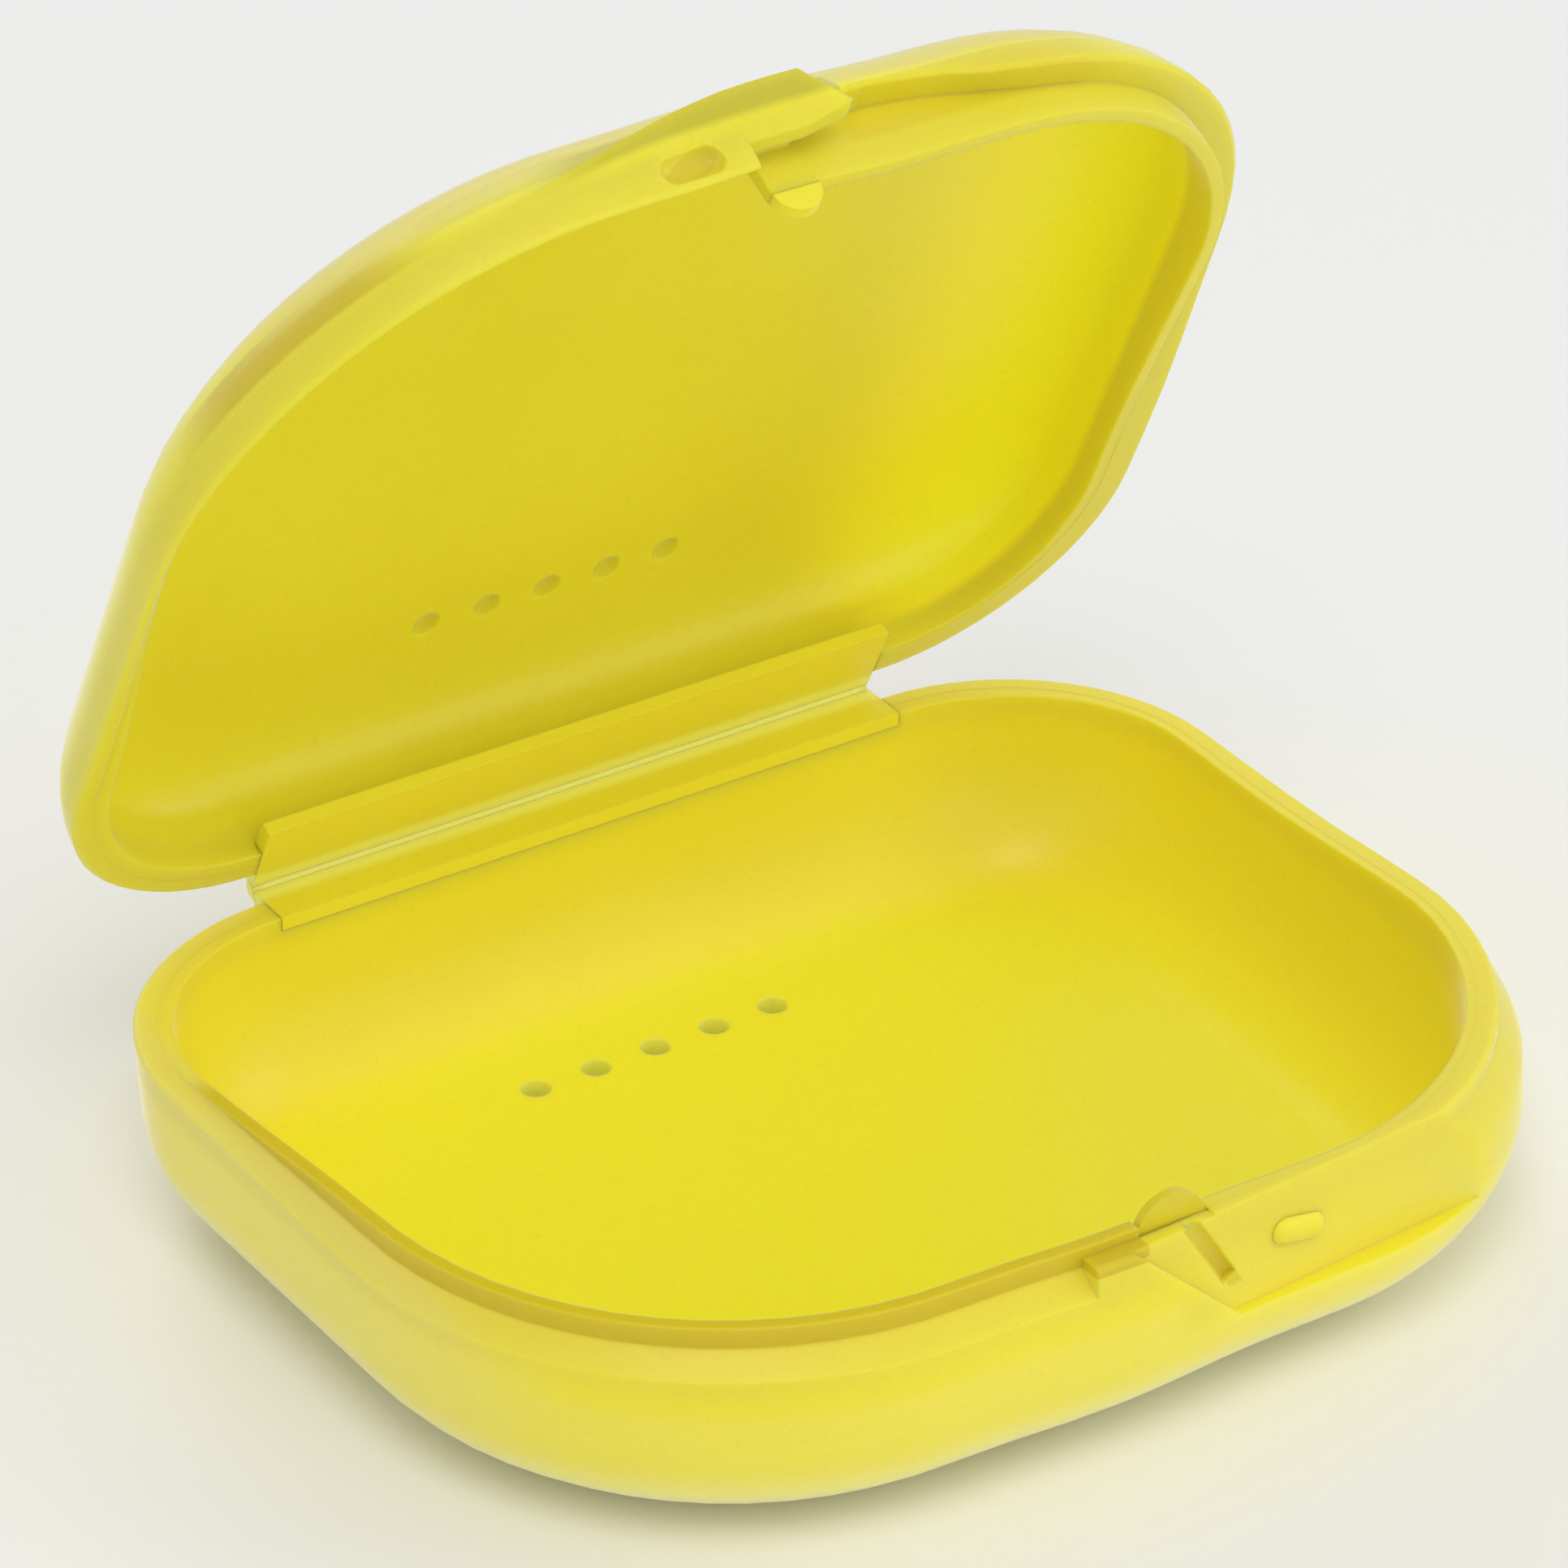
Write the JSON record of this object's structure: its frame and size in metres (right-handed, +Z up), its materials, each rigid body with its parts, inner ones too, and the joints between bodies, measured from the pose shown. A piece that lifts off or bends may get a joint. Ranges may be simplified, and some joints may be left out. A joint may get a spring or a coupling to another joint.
{
  "type": "retainer case",
  "caption": "Pillow-shaped plastic clamshell case for a dental retainer, with a folding hinge, interlocking rims, a thumb latch and a row of vents in each half.",
  "frame": {"origin": "middle of the flat underside of the base", "axes": "+X along the hinge, to the right seen from the front; +Y towards the hinge at the back; +Z up"},
  "size_m": [0.0813, 0.0711, 0.0771],
  "materials": {
    "frosted_plastic": "frosted, slightly translucent"
  },
  "bodies": {
    "base": {"base_shell": "frosted_plastic", "base_hinge_strip": "frosted_plastic", "base_latch_tongue": "frosted_plastic", "base_oval_bump": "frosted_plastic", "hinge_film": "frosted_plastic"},
    "lid": {"lid_shell": "frosted_plastic", "lid_hinge_strip": "frosted_plastic", "lid_latch_tongue": "frosted_plastic"}
  },
  "joints": [
    {"name": "lid_hinge", "type": "hinge", "parent": "base", "child": "lid", "pos_m": [0, 0.03365, 0.0145], "axis": [-1, 0, 0], "range_deg": [-63.5, 116.5], "deforming": ["hinge_film"]}
  ]
}
